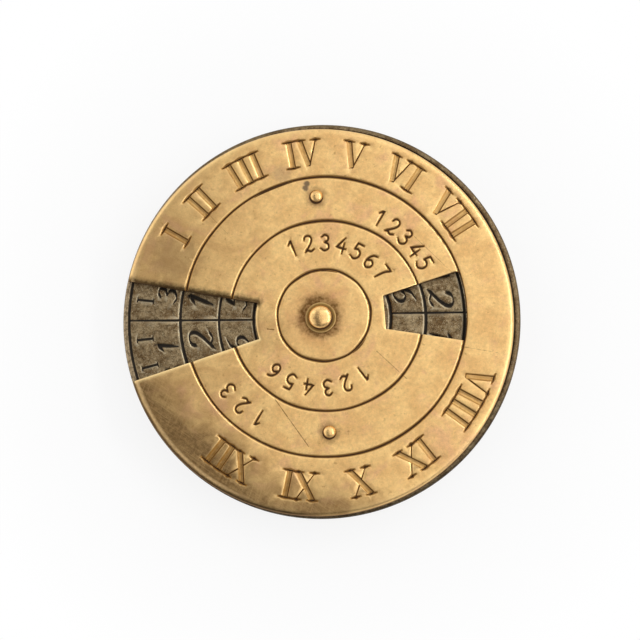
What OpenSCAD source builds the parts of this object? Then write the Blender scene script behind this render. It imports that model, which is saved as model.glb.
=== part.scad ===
// Pocket perpetual calendar: an engraved plate between two covers that turn on one rivet.
// The plate's middle plane is the drawing's level zero, and the whole stack is then lifted so
// that its lowest point rests at z = 0. +Y is the top of the front, +X its right side.

/* [Calendar plate] */
// Diameter of the plate between the two covers
plate_d = 40; // [36:0.5:46]
// Thickness of the plate
plate_t = 1.2; // [0.8:0.1:2]
// Rounding of the plate's two rim edges
plate_round = 0.3; // [0.1:0.05:0.35]
// Radius of the inner line of the month table
table_in_r = 6.9; // [6.4:0.05:8]
// Radius of the line between the inner and the middle row
table_mid_r = 10.4; // [9.2:0.1:11.5]
// Radius of the line between the middle and the outer row
table_row_r = 14.3; // [13:0.1:15]
// How far the table's twelve lines are turned from the X axis
table_turn = 0.3; // [0:0.1:29]
// Metal left between the weekday ring on the back and the back cover's edge
week_rim = 1.8; // [1.4:0.1:2.4]
// Radial width of the weekday ring
week_w = 2.3; // [1.8:0.1:2.4]

/* [Covers] */
// Thickness of each cover
cover_t = 0.8; // [0.6:0.05:1.2]
// Width of the plate's rim that shows round each cover
rim_show = 0.4; // [0.35:0.05:0.8]
// Rounding of a cover's outer edge
cover_round = 0.35; // [0.1:0.05:0.45]
// Play between each cover and the plate or washer beside it
layer_gap = 0.03; // [0.01:0.01:0.06]

/* [Windows] */
// Angle between a front window's two straight sides
window_angle = 27.2; // [20:0.1:32]
// How far the line through both front windows is turned from the X axis
window_turn = 4.8; // [-10:0.1:20]
// How far the long window reaches in past the table's inner line
long_lap = 0.4; // [0.1:0.05:0.5]
// How far the short window reaches in past the table's inner line
short_lap = 0.5; // [0.3:0.05:0.7]
// Distance behind the pivot where the long window's sides meet
long_apex = 1; // [0:0.1:2.4]
// Distance behind the pivot where the short window's sides meet
short_apex = 0.6; // [0:0.1:1.5]

/* [Scribed rings] */
// Radius of the ring round the rivet
inner_ring_r = 4.65; // [3.6:0.05:5.6]
// Radius of the middle ring
middle_ring_r = 9.65; // [8.6:0.05:10.6]
// Radius of the ring round the date table on the back
date_ring_r = 8.2; // [7.4:0.1:9]
// Width of every engraved line
groove_w = 0.34; // [0.16:0.02:0.36]
// Depth of every engraved line
groove_d = 0.12; // [0.06:0.01:0.2]

/* [Rivet and washers] */
// Diameter that the covers turn on
rivet_d = 1.8; // [1.4:0.05:2]
// Diameter of the reduced end that takes the tail washer
neck_d = 1.2; // [0.8:0.05:1.3]
// Diameter of the domed head and of the spread tail
head_d = 2.45; // [2.2:0.05:2.8]
// Height of the domed head
head_rise = 0.75; // [0.45:0.05:0.95]
// Height of the spread tail
tail_rise = 0.5; // [0.35:0.05:0.7]
// Outer diameter of both washers
washer_d = 3.1; // [2.9:0.05:3.6]
// Thickness of both washers
washer_t = 0.15; // [0.1:0.05:0.3]
// Radial play of a cover on the rivet
run_fit = 0.05; // [0.02:0.01:0.09]

/* [Finger studs] */
// Diameter of a stud's head
stud_head_d = 1.4; // [1.25:0.05:1.8]
// Height of a stud's head
stud_rise = 0.65; // [0.4:0.05:0.8]
// Diameter of a stud's shank
stud_d = 0.8; // [0.6:0.05:0.95]
// Diameter of the tail where it is spread in its countersink
stud_tail_d = 1.2; // [1.05:0.05:1.5]
// Depth of that countersink
stud_tail_h = 0.25; // [0.15:0.05:0.35]
// Distance of the upper stud from the pivot
upper_stud_r = 12.3; // [11.6:0.1:12.6]
// Distance of the lower stud from the pivot
lower_stud_r = 11.55; // [11.5:0.05:12.4]
// Distance of the back studs from the pivot
back_stud_r = 11.8; // [10:0.1:13.4]

/* [Hidden] */

$fn = 96;
months = 12;
weekdays = 7;
gilt = "goldenrod";
silvered = "darkgray";

// The cover and its rings were struck by hand, each a little off the pivot
cover_off = [-0.28, -0.2];
inner_ring_off = [0.32, 0.25];
middle_ring_off = [0.58, 0.26];
outer_ring_off = [0.4, 0.2];
// The long window was cut by hand too: how far its middle line passes above the pivot, how far
// that line is turned from the other window's, and how much wider the angle of its sides is
long_window_off = 0.22;
long_window_turn = -0.55;
long_window_wider = 1.3;
// Centre of the table's three inner rings, and how far the two ends of each of its twelve lines
// stray from their bearing, inner end first
table_off = [0.12, 0];
line_stray = [[4.2, 1.5], [0.6, -0.5], [-1.1, 0.4], [1.4, 0.2], [-0.6, -0.7], [0.9, 0.5],
    [0.1, -0.1], [1.2, 0.3], [-0.8, 0.6], [0.5, -0.6], [-1.3, 0.1], [0.7, 0.5]];
// Hand-set bearings of the finger studs
upper_stud_a = 92.1;
lower_stud_a = -85.7;
back_stud_a = 12;

ring_inset = 0.14;     // the outer ring lies this far inside the table's outer row line
radial_share = 0.8;    // a radial line's width and depth, as a share of a ring line's
tail_recess = 0.02;    // a stud's tail stays this far under its cover's inner face
rim_line_in = 0.2;     // the table's outermost line lies this far inside the covers' edge
dome_base = 0.12;      // height of the short straight side under each dome
washer_fit = 0.02;     // radial play of each washer
cut = 0.5;             // how far a cutting tool runs past the face it cuts
arc_steps = 8;         // straight steps in a rounded edge's profile

plate_r = plate_d / 2;
cover_r = plate_r - rim_show;
table_out_r = cover_r - rim_line_in;
outer_ring_r = table_row_r - ring_inset;
long_in_r = table_in_r - long_lap;
short_in_x = table_in_r - short_lap;
week_out_r = cover_r - week_rim;
week_in_r = week_out_r - week_w;

cover_z = plate_t / 2 + layer_gap;         // inner face of a cover
face_z = cover_z + cover_t;                // outer face of a cover
shoulder_z = face_z + layer_gap;           // a washer's face towards its cover
seat_z = shoulder_z + washer_t;            // a washer's face under the rivet's head or tail
lift = max(face_z + stud_rise, seat_z + tail_rise);

// Points of a quarter circle of radius r about c, from angle a0 turning by 90 degrees
function quarter(c, r, a0) =
    [for (i = [0:arc_steps]) c + r * [cos(a0 + 90 * i / arc_steps), sin(a0 + 90 * i / arc_steps)]];

function polar(r, a) = [r * cos(a), r * sin(a), 0];

module lifted() {
    translate([0, 0, lift]) children();
}

// Turns a piece drawn for the front over to the back, with its right side staying on the right
module on_back() {
    mirror([0, 0, 1]) children();
}

// Section of a V cut whose edges lie on level zero, groove_w apart
module vee() {
    polygon([[-groove_w, groove_d], [groove_w, groove_d], [0, -groove_d]]);
}

// Circular engraved line on the plane z = 0
module ring_line(r) {
    rotate_extrude() translate([r, 0]) vee();
}

// Straight engraved line along +X between two radii on the plane z = 0
module radial_line(r0, r1) {
    translate([r0, 0, 0]) rotate([90, 0, 90]) linear_extrude(r1 - r0) scale(radial_share) vee();
}

module radial_lines(count, span, r0, r1) {
    for (i = [0:count - 1])
        rotate([0, 0, i * span]) radial_line(r0, r1);
}

// Line i of the table, from its inner ring to its outermost one
module table_line(i) {
    bearing = table_turn + i * 360 / months;
    a = polar(table_in_r, bearing + line_stray[i][0]) + [table_off[0], table_off[1], 0];
    b = polar(table_out_r, bearing + line_stray[i][1]);
    translate(a) rotate([0, 0, atan2(b[1] - a[1], b[0] - a[0])]) radial_line(0, norm(b - a));
}

// Tool for a window's two straight sides: they meet at apex and open along +X
module wedge(apex, angle, reach, height) {
    half = reach * tan(angle / 2);
    translate([-apex, 0, -cut])
        linear_extrude(height + 2 * cut) polygon([[0, 0], [reach, -half], [reach, half]]);
}

// Domed head on z = 0, rising along +Z from a short straight side
module dome(d, rise) {
    cap = rise - dome_base;
    sphere_r = (d * d / 4 + cap * cap) / (2 * cap);
    intersection() {
        cylinder(d = d, h = rise);
        translate([0, 0, rise - sphere_r]) sphere(r = sphere_r);
    }
}

// Disc of a cover from z = 0 up, rounded at its upper outer edge
module cover_blank() {
    translate([cover_off[0], cover_off[1], 0]) rotate_extrude()
        polygon(concat([[0, 0], [cover_r, 0]],
            quarter([cover_r - cover_round, cover_t - cover_round], cover_round, 0),
            [[0, cover_t]]));
}

// Bore on the rivet, through a cover that stands on z = 0
module cover_bore() {
    translate([0, 0, -cut]) cylinder(d = rivet_d + 2 * run_fit, h = cover_t + 2 * cut);
}

// Hole and countersink for a stud, through a cover that stands on z = 0
module stud_hole() {
    translate([0, 0, -cut]) cylinder(d = stud_d, h = cover_t + 2 * cut);
    cylinder(d1 = stud_tail_d, d2 = stud_d, h = stud_tail_h);
    translate([0, 0, -cut]) cylinder(d = stud_tail_d, h = cut);
}

// Finger stud in a cover that stands on z = 0: domed head, shank and spread tail
module stud() {
    flare = (stud_tail_d - stud_d) / stud_tail_h;
    translate([0, 0, cover_t]) dome(stud_head_d, stud_rise);
    translate([0, 0, tail_recess]) cylinder(d = stud_d, h = cover_t - tail_recess);
    translate([0, 0, tail_recess])
        cylinder(d1 = stud_tail_d - flare * tail_recess, d2 = stud_d, h = stud_tail_h - tail_recess);
}

// Window that is open through the rim, over all three rows of the table. Its inner side is an arc
module long_window() {
    rotate([0, 0, 180 + window_turn + long_window_turn]) difference() {
        translate([0, -long_window_off, 0])
            wedge(long_apex, window_angle + long_window_wider, plate_d, cover_t);
        translate([0, 0, -2 * cut]) cylinder(r = long_in_r, h = cover_t + 4 * cut);
    }
}

// Closed window over the two inner rows. Its inner side is straight, its outer side follows the
// outer ring
module short_window() {
    intersection() {
        rotate([0, 0, window_turn]) difference() {
            wedge(short_apex, window_angle, plate_d, cover_t);
            translate([short_in_x - plate_d, -plate_r, -2 * cut])
                cube([plate_d, plate_d, cover_t + 4 * cut]);
        }
        translate([outer_ring_off[0], outer_ring_off[1], -cut])
            cylinder(r = outer_ring_r + groove_w / 8, h = cover_t + 2 * cut);
    }
}

// Arc window over seven of the fourteen weekday sectors
module week_window() {
    translate([0, 0, -cut]) intersection() {
        difference() {
            cylinder(r = week_out_r, h = cover_t + 2 * cut);
            translate([0, 0, -cut]) cylinder(r = week_in_r, h = cover_t + 4 * cut);
        }
        translate([-plate_r, 0, -cut]) cube([plate_d, plate_r, cover_t + 4 * cut]);
    }
}

module front_rings() {
    translate([inner_ring_off[0], inner_ring_off[1], cover_t]) ring_line(inner_ring_r);
    translate([middle_ring_off[0], middle_ring_off[1], cover_t]) ring_line(middle_ring_r);
    translate([outer_ring_off[0], outer_ring_off[1], cover_t]) ring_line(outer_ring_r);
}

// Lines of the date table: two rings, and eight lines that bound its seven columns
module date_table() {
    column = 180 / weekdays;
    table_top = week_in_r - groove_w * 2;
    translate([0, 0, cover_t]) {
        ring_line(inner_ring_r);
        ring_line(date_ring_r);
        radial_lines(weekdays + 1, column, date_ring_r, table_top);
    }
}

module calendar_plate() {
    half_t = plate_t / 2;
    rim_c = plate_r - plate_round;
    color(silvered) lifted() difference() {
        rotate_extrude() polygon(concat([[rivet_d / 2, -half_t]],
            quarter([rim_c, plate_round - half_t], plate_round, -90),
            quarter([rim_c, half_t - plate_round], plate_round, 0),
            [[rivet_d / 2, half_t]]));
        translate([0, 0, half_t]) {
            for (r = [table_in_r, table_mid_r, table_row_r])
                translate([table_off[0], table_off[1], 0]) ring_line(r);
            ring_line(table_out_r);
            for (i = [0:months - 1]) table_line(i);
        }
        on_back() translate([0, 0, half_t]) {
            for (r = [week_in_r, week_out_r]) ring_line(r);
            radial_lines(2 * weekdays, 180 / weekdays, week_in_r, week_out_r);
        }
    }
}

module front_cover() {
    color(gilt) lifted() translate([0, 0, cover_z]) difference() {
        cover_blank();
        cover_bore();
        long_window();
        short_window();
        front_rings();
        translate(polar(upper_stud_r, upper_stud_a)) stud_hole();
        translate(polar(lower_stud_r, lower_stud_a)) stud_hole();
    }
}

module upper_stud() {
    color(gilt) lifted() translate(polar(upper_stud_r, upper_stud_a) + [0, 0, cover_z]) stud();
}

module lower_stud() {
    color(gilt) lifted() translate(polar(lower_stud_r, lower_stud_a) + [0, 0, cover_z]) stud();
}

module back_cover() {
    color(gilt) lifted() on_back() translate([0, 0, cover_z]) difference() {
        cover_blank();
        cover_bore();
        week_window();
        date_table();
        translate(polar(back_stud_r, -back_stud_a)) stud_hole();
        translate(polar(back_stud_r, 180 + back_stud_a)) stud_hole();
    }
}

module back_right_stud() {
    color(gilt) lifted() on_back()
        translate(polar(back_stud_r, -back_stud_a) + [0, 0, cover_z]) stud();
}

module back_left_stud() {
    color(gilt) lifted() on_back()
        translate(polar(back_stud_r, 180 + back_stud_a) + [0, 0, cover_z]) stud();
}

// Shouldered rivet: the covers and the plate sit on the full diameter, the tail washer on the neck
module pivot_rivet() {
    color(gilt) lifted() {
        translate([0, 0, seat_z]) dome(head_d, head_rise);
        translate([0, 0, -shoulder_z]) cylinder(d = rivet_d, h = shoulder_z + seat_z);
        translate([0, 0, -seat_z]) cylinder(d = neck_d, h = seat_z);
        on_back() translate([0, 0, seat_z]) dome(head_d, tail_rise);
    }
}

// Flat washer with its lower face on z = shoulder_z
module washer(bore_d) {
    translate([0, 0, shoulder_z]) difference() {
        cylinder(d = washer_d, h = washer_t);
        translate([0, 0, -cut]) cylinder(d = bore_d + 2 * washer_fit, h = washer_t + 2 * cut);
    }
}

module head_washer() {
    color(gilt) lifted() washer(rivet_d);
}

module tail_washer() {
    color(gilt) lifted() on_back() washer(neck_d);
}

calendar_plate();
front_cover();
upper_stud();
lower_stud();
back_cover();
back_right_stud();
back_left_stud();
pivot_rivet();
head_washer();
tail_washer();
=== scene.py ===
# %% [markdown]
# # A pocket perpetual calendar
# The real thing is a thin stack: a silvered brass plate with a table cut into it, and on each
# side a gilt brass cover that turns on one rivet in the middle. The covers have windows, and the
# plate is read through them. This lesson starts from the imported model, whose solids already sit
# in their true places, and gives each one its engraving, its worn edges and its metal.

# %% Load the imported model
import math

import bmesh
import bpy
import numpy as np
from mathutils import Matrix, Vector
from mathutils.geometry import delaunay_2d_cdt


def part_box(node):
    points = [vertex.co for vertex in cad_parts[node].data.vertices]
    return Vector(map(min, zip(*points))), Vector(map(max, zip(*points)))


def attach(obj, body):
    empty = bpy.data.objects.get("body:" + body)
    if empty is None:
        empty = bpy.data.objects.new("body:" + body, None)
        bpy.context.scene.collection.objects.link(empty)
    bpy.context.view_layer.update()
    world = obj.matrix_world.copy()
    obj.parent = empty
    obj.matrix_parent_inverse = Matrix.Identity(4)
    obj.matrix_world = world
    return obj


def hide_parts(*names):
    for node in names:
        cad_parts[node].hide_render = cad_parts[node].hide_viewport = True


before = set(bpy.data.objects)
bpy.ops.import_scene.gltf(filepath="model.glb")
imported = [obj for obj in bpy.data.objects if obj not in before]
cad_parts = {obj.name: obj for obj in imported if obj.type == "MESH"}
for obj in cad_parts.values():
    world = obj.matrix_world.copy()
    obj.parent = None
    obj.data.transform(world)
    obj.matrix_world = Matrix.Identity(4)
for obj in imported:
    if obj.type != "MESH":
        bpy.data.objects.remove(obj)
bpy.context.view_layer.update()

# %% [markdown]
# ## Sizes
# Nothing is measured by eye here: each disc's centre, radius and height come from the box of the
# solid that it stands for. We work in millimetres, because a groove of 0.34 is easier to think
# about than one of 0.00034, and turn to metres only when a mesh is written.

# %% Read the discs from their solids
MM = 0.001
TURN = 2 * math.pi


def disc_of(node):
    low, high = (np.array(corner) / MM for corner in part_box(node))
    radius = (high - low)[1] / 2  # a window may have cut the disc's left side away
    return {"centre": np.array([high[0] - radius, (low + high)[1] / 2]), "radius": radius,
            "low": low[2], "high": high[2], "thick": high[2] - low[2]}


def polar(centre, radius, angles):
    """Points round a centre, one for each angle in radians."""
    return np.stack([centre[0] + radius * np.cos(angles), centre[1] + radius * np.sin(angles)], -1)


PLATE, FRONT, BACK = (disc_of(node) for node in ("calendar_plate", "front_cover", "back_cover"))
PIVOT = PLATE["centre"]
for name, disc in (("plate", PLATE), ("front", FRONT), ("back", BACK)):
    print(name, "radius", round(disc["radius"], 3), "thickness", round(disc["thick"], 3))

# %% [markdown]
# ## How engraving is made
# A graver is a small chisel with a V-shaped point. It is pushed through the metal, and the deeper
# it goes, the wider the line. We could carve such lines with booleans, or fake them with a bump
# map. Booleans leave ragged meshes, and a bump has no real shadow in it. So the face of each disc
# is drawn as a flat net of triangles in which every edge and every bottom line of a groove is
# already an edge, and then each point is sunk to its true depth.
#
# A stroke is a path with a half-width at each point. Its walls always have the same slope, so a
# narrow stroke is also a shallow one. A wide stroke is cleared out to a floor instead, which falls
# a little towards the middle line, where two rows of cuts meet.

# %% A stroke of the graver
def stroke(path, half, slope=0.9, floor=None, closed=False):
    """A cut with half-widths along a path, walls of one slope and perhaps a floor at a depth."""
    path = np.asarray(path, float)
    half = np.full(len(path), half) if np.isscalar(half) else np.asarray(half, float)
    cleared = floor is not None
    return {"path": path, "half": half, "slope": slope, "closed": closed, "cleared": cleared,
            "floor": floor if cleared else math.inf,
            "wall": min(half.max(), floor / slope) if cleared else half.max()}


def directions(path, closed):
    """Unit vectors to the left of the path and along it, at each of its points."""
    if closed:
        ahead = np.roll(path, -1, 0) - np.roll(path, 1, 0)
    else:
        ahead = np.gradient(path, axis=0)
    ahead /= np.maximum(np.linalg.norm(ahead, axis=1, keepdims=True), 1e-9)
    return np.stack([-ahead[:, 1], ahead[:, 0]], 1), ahead


line = stroke([(0, 0), (5, 0)], 0.17)
print("a stroke 0.34 wide is", round(0.17 * line["slope"], 3), "deep")

# %% [markdown]
# The net is a Delaunay triangulation: Blender's own delaunay_2d_cdt takes points and the edges
# that must stay, and cuts them where they cross. We give it the outlines, the two edges and the
# bottom line of each stroke, and a loose filling of points so that no triangle gets too long.

# %% Draw strokes into the net
SHOULDER, SHOULDER_DROP = 0.1, 0.014  # worn strip beside a cut, and how far it has sunk
CORNER = 0.07                         # strip of a floor beside its wall, where soil stays


def vectors(points):
    return [Vector((float(x), float(y))) for x, y in points]


class Net:
    def __init__(self):
        self.points, self.edges = [], []

    def dots(self, path):
        self.points += vectors(path)

    def line(self, path, closed=False):
        first, last = len(self.points), len(self.points) + len(path) - 1
        self.dots(path)
        self.edges += [(i, i + 1) for i in range(first, last)]
        if closed:
            self.edges.append((last, first))

    def stroke(self, s):
        path, half, wall = s["path"], s["half"][:, None], s["wall"]
        left, ahead = directions(path, s["closed"])
        for off in (half + SHOULDER * .5, half + SHOULDER):
            self.dots(np.vstack([path + left * off, path - left * off]))
        if s["closed"]:
            for off in (half, -half, 0):
                self.line(path + left * off, True)
            return
        ends = np.zeros_like(path)
        ends[0], ends[-1] = -ahead[0] * wall, ahead[-1] * wall

        def outline(width, e):
            across = left * width
            self.line(np.vstack([path + across + e, (path - across + e)[::-1]]), True)

        outline(half, ends)
        self.line(path)
        if s["cleared"]:
            for pull in (0.0, CORNER):
                outline(half - (wall + pull), -ends * pull / wall)


print("a shoulder is", SHOULDER, "mm wide")

# %% [markdown]
# Each point then takes the depth of the deepest stroke above it. Two more numbers come from the
# same distances: the dirt, which is thickest at the bottom of a V and along the foot of a wall,
# with more painted shade on the side of a cut turned from the light, and the burr, the thin lip
# that a graver throws up beside its cut. Hands have worn it bright, and it is painted bright only
# on the side that faces the light, as a painted highlight.

# %% Sink the points
VALLEY = 0.22                       # slope of a cleared floor towards its middle line
FLOOR_SOIL = 0.17                   # thin dirt in the middle of a cleared floor
# Towards this side each cut gets a painted highlight on its burr, and less painted shade.
LIT_SIDE = np.array([-.92, -.39])  # the side of a cut on which its burr catches the light


def sink(points, strokes):
    """Depth of each point under the strokes, its dirt and painted shade, and its burr highlight."""
    depth, dirt_and_shade, burr_highlight = (np.zeros(len(points)) for _ in range(3))
    for s in strokes:
        path, half, wall = s["path"], s["half"], s["wall"]
        reach = half.max() + wall + SHOULDER
        near = (points > path.min(0) - reach) & (points < path.max(0) + reach)
        near = np.where(np.all(near, 1))[0]
        count = len(path) if s["closed"] else len(path) - 1
        for i in range(count):
            a, b = path[i], path[(i + 1) % len(path)]
            ha, hb = half[i], half[(i + 1) % len(path)]
            mid, span = (a + b) / 2, np.abs(b - a) / 2 + reach
            pick = near[np.all(np.abs(points[near] - mid) < span, 1)]
            if not len(pick):
                continue
            length = np.linalg.norm(b - a)
            along = (points[pick] - a) @ (b - a) / length ** 2
            first, last = not s["closed"] and i == 0, not s["closed"] and i == count - 1
            t = np.clip(along, -9 if first else 0, 9 if last else 1)
            gone = points[pick] - a - t[:, None] * (b - a)
            off = np.linalg.norm(gone, axis=1)
            inside = ha + (hb - ha) * np.clip(t, 0, 1) - off
            if first:
                inside = np.minimum(inside, wall + along * length)
            if last:
                inside = np.minimum(inside, wall + (1 - along) * length)
            beside = np.clip(1 + inside / SHOULDER, 0, 1)
            # side is near 1 on the side of a cut that faces the light, where the burr is painted
            # bright as a highlight
            side = gone @ LIT_SIDE / np.maximum(off, 1e-6)
            lit_burr = np.clip(side, 0, 1) * (beside > .3) * (inside < .01)
            burr_highlight[pick] = np.maximum(burr_highlight[pick], lit_burr)
            inside = np.maximum(inside, 0)
            down = np.minimum(inside * s["slope"], s["floor"]) + SHOULDER_DROP * beside ** 2
            if s["cleared"]:
                down = down + VALLEY * np.maximum(inside - wall, 0)
                # More soil on the side turned from the light, a painted shade; a narrow V does the
                # same below.
                most = .2 + .4 * (1 - side)
                thinner = (most - FLOOR_SOIL) * np.minimum((inside - wall) / CORNER, 1)
                soil_and_shade = np.where(inside < wall, most * inside / wall, most - thinner)
            else:
                soil_and_shade = inside / np.maximum(ha, hb) * (1 - .22 * side)
            deeper = down > depth[pick]
            dirt_and_shade[pick] = np.where(deeper, soil_and_shade, dirt_and_shade[pick])
            depth[pick] = np.where(deeper, down, depth[pick])
    return depth, dirt_and_shade, burr_highlight * (depth < .02)


depth, _, _ = sink(np.array([(2.5, 0.0)]), [line])
print("with its shoulder that line lies", round(float(depth[0]), 3), "deep")

# %% [markdown]
# ## Figures
# The plate carries script figures, cut with thick down-strokes and thin up-strokes, and the covers
# plain ones. Both come from the same centre lines, given here in a box one unit high. What changes
# is the width along the line: a plain figure keeps one width, a script figure is widest where the
# line runs down, as from a broad pen.

# %% Draw the ten figures
FIGURES = {
    "0": [("round", [(.30, 1), (.09, .78), (.05, .45), (.13, .13), (.30, 0), (.50, .2), (.56, .52),
                     (.50, .84), (.30, 1)])],
    "1": [("straight", [(.14, .76), (.36, 1), (.36, 0)])],
    "2": [("round", [(.07, .76), (.14, .94), (.32, 1), (.50, .90), (.53, .68), (.40, .42),
                     (.20, .18), (.05, 0)]),
          ("round", [(.05, 0), (.20, .07), (.40, -.01), (.60, .10)])],
    "3": [("round", [(.08, .86), (.26, 1), (.47, .90), (.47, .66), (.25, .54)]),
          ("round", [(.25, .54), (.51, .42), (.54, .16), (.31, 0), (.06, .12)])],
    "4": [("straight", [(.44, 1), (.03, .32), (.62, .32)]), ("straight", [(.46, .66), (.46, 0)])],
    "5": [("straight", [(.54, 1), (.15, 1), (.10, .58)]),
          ("round", [(.10, .58), (.33, .64), (.54, .48), (.54, .20), (.32, 0), (.05, .10)])],
    "6": [("round", [(.49, .95), (.25, .84), (.09, .52), (.11, .16), (.32, 0), (.54, .16),
                     (.54, .40), (.34, .54), (.11, .38)])],
    "7": [("straight", [(.04, 1), (.58, 1)]), ("round", [(.58, 1), (.37, .62), (.24, 0)])],
    "8": [("round", [(.32, .54), (.13, .70), (.14, .91), (.32, 1), (.50, .91), (.51, .70),
                     (.32, .54), (.08, .34), (.11, .08), (.32, 0), (.54, .08), (.56, .34),
                     (.32, .54)])],
    "9": [("round", [(.12, .05), (.37, .16), (.53, .48), (.51, .84), (.29, 1), (.07, .84),
                     (.07, .60), (.27, .46), (.51, .62)])],
}


def smooth_path(points, steps=4):
    """Curve through a few points, for the round parts of a figure."""
    p = np.asarray(points, float)
    p = np.vstack([2 * p[0] - p[1], p, 2 * p[-1] - p[-2]])
    out = []
    for a, b, c, d in zip(p[:-3], p[1:-2], p[2:-1], p[3:]):
        for t in np.arange(steps) / steps:
            out.append(0.5 * (2 * b + (c - a) * t + (2 * a - 5 * b + 4 * c - d) * t ** 2
                              + (3 * b - a - 3 * c + d) * t ** 3))
    return np.array(out + [p[-2]])


def at_disc(angle, shift, base, height, u, v, back=False):
    """Points (u, v) of a sign that stands on the circle of radius base, its top away from the
    pivot. The line of signs has its middle at the angle, in degrees, and the sign is shifted
    along it. On the back the line runs the other way."""
    side = -1 if back else 1
    turn = math.radians(angle) - shift / (base + height / 2) * side
    out = np.array([math.cos(turn), math.sin(turn)])
    right = np.array([out[1], -out[0]]) * side
    return PIVOT + np.outer(base + np.atleast_1d(v), out) + np.outer(np.atleast_1d(u), right)


def figure(text, angle, base, height, width, script=False, back=False, slope=0.9, pitch=.78):
    """Strokes of a number whose middle stands at the given angle, in degrees."""
    made = []
    wide, slant = (1.3, .25) if script else (1, 0)
    for n, sign in enumerate(text):
        shift = (n - (len(text) - 1) / 2) * pitch * height
        for kind, points in FIGURES[sign]:
            if kind == "round":
                p = smooth_path(points)
            else:
                p = np.array(points, float)
                p = np.vstack([p[i] + (p[i + 1] - p[i]) * t for i in range(len(p) - 1)
                               for t in (0, .33, .66)] + [p[-1]])
            if script:
                ahead = directions(p, False)[1]
                half = width * (0.34 + 0.66 * np.abs(ahead[:, 1]) ** 1.8)
            else:
                half = np.full(len(p), width)
            half[[0, -1]] *= 0.55 if script else 0.85
            u = ((p[:, 0] - 0.31) * wide + slant * (p[:, 1] - 0.5)) * height
            made.append(stroke(at_disc(angle, shift, base, height, u, p[:, 1] * height, back),
                               half, slope))
    return made


print(len(FIGURES), "figures; 28 takes", len(figure("28", 0, 15, 2, .3)), "strokes")

# %% [markdown]
# The covers carry Roman numerals with thick stems and hair-thin serifs. A stem is cut twice along
# its sides and then cleared out between, so it has steep walls and a shallow valley for a floor. A
# numeral is a row of I, V and X, each turned to stand on its own spot of the circle.

# %% Cut a Roman numeral
STEM, HAIR = 0.3496, 0.09                          # half-widths
STEM_SLOPE, STEM_FLOOR, HAIR_SLOPE = 0.95, 0.12, 1.0
SERIF = [.13, .17, .27, .17, .13]                  # half-widths from one tip to the other
ADVANCE = {"I": 1.24, "V": 2.3, "X": 2.36}
ARM = 0.8                                          # half the width of V and X


def stem(a, b):
    return [a, b], [STEM, STEM], STEM_SLOPE, STEM_FLOOR


def hairline(a, b):
    return [a, tuple((np.array(a) + b) / 2), b], [HAIR, HAIR * 1.25, HAIR], HAIR_SLOPE, None


def serif(x, v, reach):
    return [(x + reach * k, v) for k in (-1, -.75, 0, .75, 1)], SERIF, HAIR_SLOPE, None


def roman_letter(sign, height):
    """Strokes of one letter, as points, half-widths, slope and floor, with its foot at v = 0."""
    low, top = 0.12, height - 0.12
    head, foot = top + .03, low - .03
    if sign == "I":
        return [stem((0, low), (0, top)), serif(0, foot, .56), serif(0, head, .56)]
    if sign == "V":
        return [stem((-ARM, top), (-.04, low + .06)), hairline((ARM, top), (.06, low)),
                serif(-ARM, head, .42), serif(ARM, head, .36)]
    return [stem((-ARM, top), (ARM, low)), hairline((ARM, top), (-ARM, low)),
            serif(-ARM, head, .4), serif(ARM, head, .36),
            serif(-ARM, foot, .36), serif(ARM, foot, .4)]


def roman(text, angle, base, height):
    made = []
    x = -sum(ADVANCE[c] for c in text) / 2
    for sign in text:
        x += ADVANCE[sign] / 2
        for points, half, slope, floor in roman_letter(sign, height):
            u, v = np.array(points, float).T
            made.append(stroke(at_disc(angle, x, base, height, u, v), half, slope, floor))
        x += ADVANCE[sign] / 2
    return made


def plain_roman(text, angle, base, height, width, back=False, apart=0.0, room=6.6):
    """Small numeral of single lines, as on the plate. Two or three signs are set apart, but in
    all they take no more than the room."""
    made, arm, tick = [], .3 * height, .13 * height
    shapes = {"I": [[(0, 0), (0, height)]],
              "V": [[(-arm, height), (0, 0)], [(arm, height), (0, 0)]],
              "X": [[(-arm, height), (arm, 0)], [(arm, height), (-arm, 0)]]}
    widths = [(.62 if sign == "I" else .98) * height for sign in text]
    gap = min(apart, room - sum(widths)) / (len(text) - 1) if 1 < len(text) < 4 else 0
    x = -(sum(widths) + gap * (len(text) - 1)) / 2
    for sign, wide in zip(text, widths):
        x += wide / 2
        place = (angle, x, base, height)
        for n, points in enumerate(shapes[sign]):
            u, v = np.array(points, float).T
            w = width * (0.65 if n else 1)
            made.append(stroke(at_disc(*place, u, v, back), [w, w * .9]))
            for u, v in points:
                if sign != "V" or v > 0:  # a V has no foot to stand on
                    made.append(stroke(at_disc(*place, [u - tick, u + tick], [v, v], back),
                                       [width * .55, width * .4]))
        x += wide / 2 + gap
    return made


print("numeral VIII has", len(roman("VIII", 0, 15, 2.6)), "strokes")

# %% [markdown]
# A scribed ring is one closed stroke. The real rings were struck with hand-held dividers, so the
# line swells and wavers a little. A few slow waves round the circle do that, and a fixed list of
# them keeps every run the same.

# %% Strike a ring
WIDE, THIN = .2, .15  # half-widths of a ring and of a ruled line
LINE_SLOPE = 0.86


def ring(centre, radius, half=WIDE, waver=0.035, swell=0.12, phase=0.0, lean=0.0, steps=240):
    """Closed stroke that wavers and swells, and is thinner on the right by the lean."""
    a = np.arange(steps) / steps * TURN
    r = radius + waver * (np.sin(2 * a + phase) + .6 * np.sin(5 * a + 2 * phase)
                          + .4 * np.sin(11 * a - phase))
    waves = np.sin(3 * a + 1 + phase) + .5 * np.sin(7 * a + phase)
    return stroke(polar(centre, r, a), half * (1 + swell * waves - lean * np.cos(a)), LINE_SLOPE,
                  closed=True)


def arc(centre, radius, start, end, half, steps=14):
    """Open stroke along a circle, thin at both ends, from one bearing in degrees to another."""
    t = np.linspace(0, 1, steps)
    return stroke(polar(centre, radius, np.radians(np.linspace(start, end, steps))),
                  half * np.maximum(np.sin(t * math.pi), 0.15) ** .5)


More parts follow.
